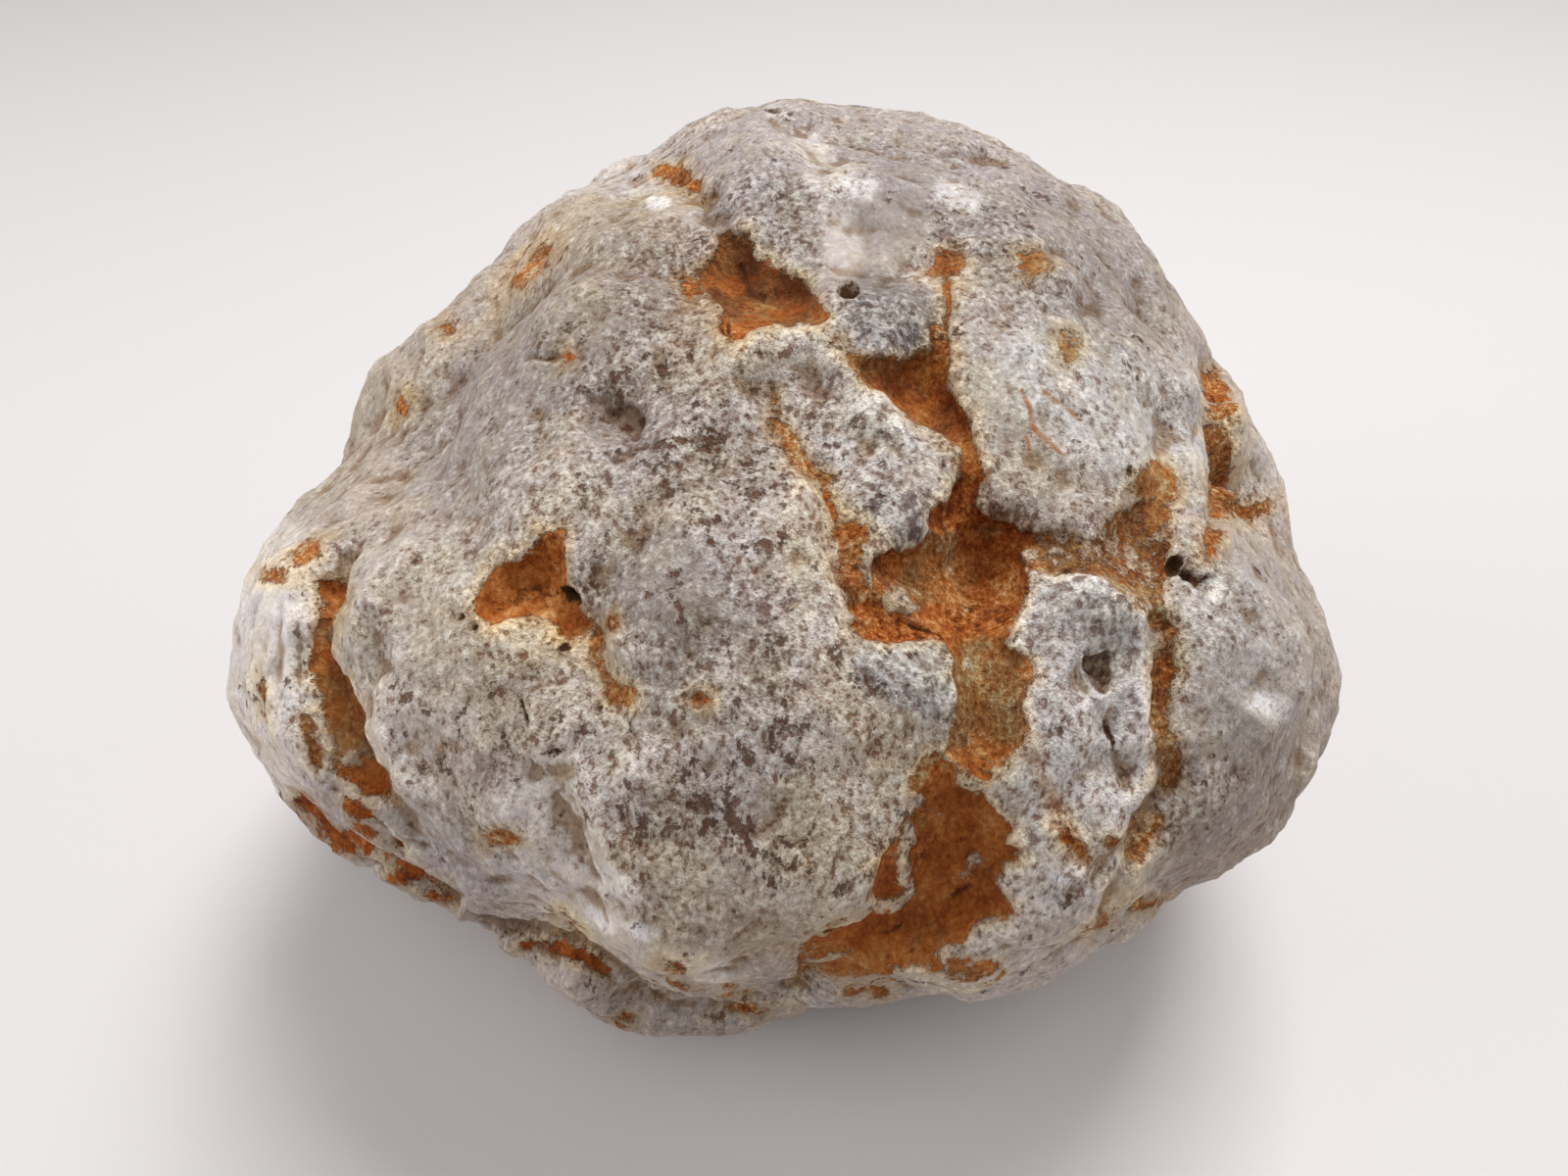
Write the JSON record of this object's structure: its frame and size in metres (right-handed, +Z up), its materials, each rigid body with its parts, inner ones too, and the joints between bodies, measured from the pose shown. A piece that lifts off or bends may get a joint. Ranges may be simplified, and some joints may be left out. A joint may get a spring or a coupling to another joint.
{
  "type": "unopened geode",
  "caption": "Whole, unopened geode: a lumpy, egg-shaped nodule of pale chalcedony with orange clay left in its creases, resting on a small flat spot.",
  "frame": {"origin": "centre of the bounding box's bottom, in the plane of the flat spot that the stone rests on", "axes": "+X along the stone's longest way across, +Z up, -Y towards the show side, whose face looks up and forward at about 44 degrees"},
  "size_m": [0.1562, 0.1496, 0.1205],
  "materials": {
    "rind": "dull, rough quartz crust with rust-orange clay in its hollows"
  },
  "bodies": {
    "root": {"geode": "rind"}
  },
  "joints": []
}
